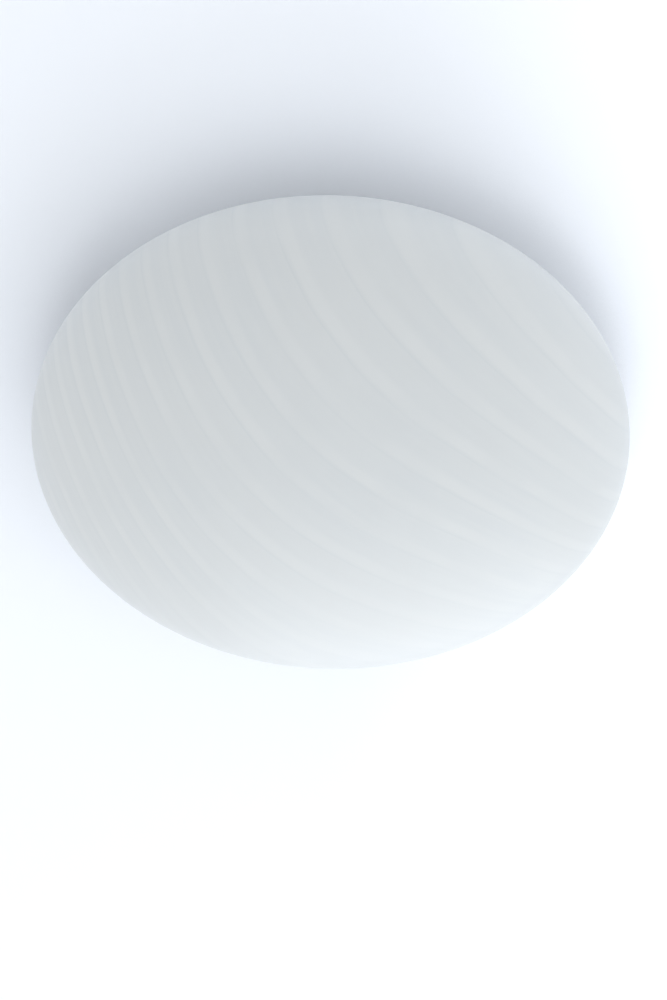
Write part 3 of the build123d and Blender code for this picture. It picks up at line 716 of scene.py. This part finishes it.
def ceiling_material():
    """White paint that glows a little, with painted shadow and light beside the object, and clear when
    seen from above.
    """
    material = bpy.data.materials.new("ceiling")
    material.use_nodes = True
    tree = material.node_tree
    tree.nodes.clear()
    paint = tree.nodes.new("ShaderNodeBsdfDiffuse")
    paint.inputs["Color"].default_value = (*CEILING_COLOR, 1.0)
    open_air = tree.nodes.new("ShaderNodeAmbientOcclusion")
    open_air.inputs["Distance"].default_value = CEILING_REACH
    # painted shadow: the glow is less where the object stands close
    air = Field(tree, open_air.outputs["AO"])
    glow = tree.nodes.new("ShaderNodeEmission")
    glow.inputs["Color"].default_value = (*CEILING_GLOW_COLOR, 1.0)
    place = tree.nodes.new("ShaderNodeTexCoord")
    split = tree.nodes.new("ShaderNodeSeparateXYZ")
    tree.links.new(place.outputs["Object"], split.inputs[0])
    near_air = tree.nodes.new("ShaderNodeAmbientOcclusion")
    near_air.inputs["Distance"].default_value = CEILING_EDGE
    clear_of_it = Field(tree, near_air.outputs["AO"]).between(*CEILING_CLEAR)
    across = Field(tree, split.outputs["X"])
    # painted light to the object's right, and painted shade to its left close to the glass
    rise = across.between(*CEILING_BRIGHTER) * clear_of_it * CEILING_PAINTED_LIGHT
    painted_shade_left = across.between(*CEILING_DARKER).flip() * clear_of_it.flip()
    strength = air * painted_shade_left.spread(CEILING_GLOW, CEILING_GLOW * (1 - CEILING_PAINTED_SHADE)) + rise
    tree.links.new(strength.socket, glow.inputs["Strength"])
    lit = tree.nodes.new("ShaderNodeAddShader")
    clear = tree.nodes.new("ShaderNodeBsdfTransparent")
    front = tree.nodes.new("ShaderNodeNewGeometry")
    facing = Field(tree, front.outputs["Backfacing"]).flip()
    rays = tree.nodes.new("ShaderNodeLightPath")
    run = Field(tree, rays.outputs["Ray Length"])
    shading = run.math("GREATER_THAN", CEILING_NEAR) * run.math("LESS_THAN", CEILING_FAR)
    shown = tree.nodes.new("ShaderNodeMixShader")
    out = tree.nodes.new("ShaderNodeOutputMaterial")
    tree.links.new(paint.outputs[0], lit.inputs[0])
    tree.links.new(glow.outputs[0], lit.inputs[1])
    tree.links.new((seen_rays(tree).math("MAXIMUM", shading) * facing).socket, shown.inputs[0])
    tree.links.new(clear.outputs[0], shown.inputs[1])
    tree.links.new(lit.outputs[0], shown.inputs[2])
    tree.links.new(shown.outputs[0], out.inputs["Surface"])
    return material


def floor_material():
    """A pale floor that keeps the object's shadow."""
    material = bpy.data.materials.new("floor")
    material.use_nodes = True
    tree = material.node_tree
    shader = tree.nodes["Principled BSDF"]
    shader.inputs["Base Color"].default_value = (*FLOOR_COLOR, 1.0)
    shader.inputs["Roughness"].default_value = FLOOR_ROUGHNESS
    shader.inputs["Emission Color"].default_value = (1.0, 1.0, 1.0, 1.0)
    tree.links.new((seen_rays(tree) * FLOOR_WHITENESS).socket, shader.inputs["Emission Strength"])
    return material


def surroundings():
    """Pale light from all around, and white where it is seen."""
    world = bpy.data.worlds.new("surroundings")
    world.use_nodes = True
    tree = world.node_tree
    tree.nodes.clear()
    direction = tree.nodes.new("ShaderNodeTexCoord")
    split = tree.nodes.new("ShaderNodeSeparateXYZ")
    tree.links.new(direction.outputs["Generated"], split.inputs[0])
    light = tree.nodes.new("ShaderNodeBackground")
    light.inputs["Color"].default_value = (*AMBIENT_COLOR, 1.0)
    strength = Field(tree, split.outputs["Z"]) * AMBIENT_RISE + AMBIENT
    tree.links.new(strength.socket, light.inputs["Strength"])
    white = tree.nodes.new("ShaderNodeBackground")
    white.inputs["Color"].default_value = (1.0, 1.0, 1.0, 1.0)
    shown = tree.nodes.new("ShaderNodeMixShader")
    out = tree.nodes.new("ShaderNodeOutputWorld")
    tree.links.new(seen_rays(tree).socket, shown.inputs[0])
    tree.links.new(light.outputs[0], shown.inputs[1])
    tree.links.new(white.outputs[0], shown.inputs[2])
    tree.links.new(shown.outputs[0], out.inputs["Surface"])
    bpy.context.scene.world = world


def window_light(name, toward, power):
    """A square light that faces the object."""
    light = bpy.data.lights.new(name, "AREA")
    light.shape = "SQUARE"
    light.size = WINDOW_SIZE
    light.energy = power
    light.color = WINDOW_COLOR
    lamp = bpy.data.objects.new(name, light)
    toward = Vector(toward).normalized()
    lamp.location = dome_middle + toward * WINDOW_DISTANCE
    lamp.rotation_euler = toward.to_track_quat("Z", "Y").to_euler()
    bpy.context.scene.collection.objects.link(lamp)


def look_up():
    """The camera below the light and in front of it, at the photograph's angle."""
    data = bpy.data.cameras.new("camera")
    data.lens = LENS
    rise = math.radians(CAMERA_RISE)
    view = Vector((0, math.cos(rise), math.sin(rise)))
    right = Vector((1, 0, 0))
    place = dome_middle - view * CAMERA_DISTANCE
    yaw = Matrix.Rotation(math.radians(CAMERA_YAW), 3, right.cross(view))
    view, right = yaw @ view, yaw @ right
    view = Matrix.Rotation(math.radians(CAMERA_PITCH), 3, right) @ view
    right = Matrix.Rotation(math.radians(CAMERA_ROLL), 3, view) @ right
    up = right.cross(view)
    camera = bpy.data.objects.new("camera", data)
    camera.matrix_world = Matrix.Translation(place) @ Matrix((right, up, -view)).transposed().to_4x4()
    bpy.context.scene.collection.objects.link(camera)
    bpy.context.scene.camera = camera


def all_screws():
    """The pan's screws point down, and those of the lampholders back along each lamp's axis."""
    down = [(Vector((0, 0, -1)), Vector())]
    low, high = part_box("lampholder_body_1")
    back = Vector((low.x, (low.y + high.y) / 2, (low.z + high.z) / 2))
    backs = [(third.to_3x3() @ Vector((-1, 0, 0)), third @ back) for third in THIRDS]
    screws("holder_screws_cut", "holder_screws", "zinc_steel", 0.6 * MM, cross_cutter, backs, 1)
    screws("block_screws_cut", "block_screws", "zinc_steel", 0.55 * MM, cross_cutter, down, 2)
    screws("terminal_screws_cut", "terminal_screws", "zinc_steel", 0.5 * MM, slot_cutter, down, 3)
    screws("earth_screw_cut", "earth_screw", "brass", 0.7 * MM, slot_cutter, down, 4)


lamp_threads()
all_screws()
plane("ceiling", CEILING_HALF, CEILING_GAP, -1).data.materials.append(ceiling_material())
plane("floor", FLOOR_HALF, -FLOOR_DROP, 1).data.materials.append(floor_material())
surroundings()
for window, (toward, power) in WINDOWS.items():
    window_light(window, toward, power)
look_up()
bpy.context.scene.view_settings.view_transform = "Standard"
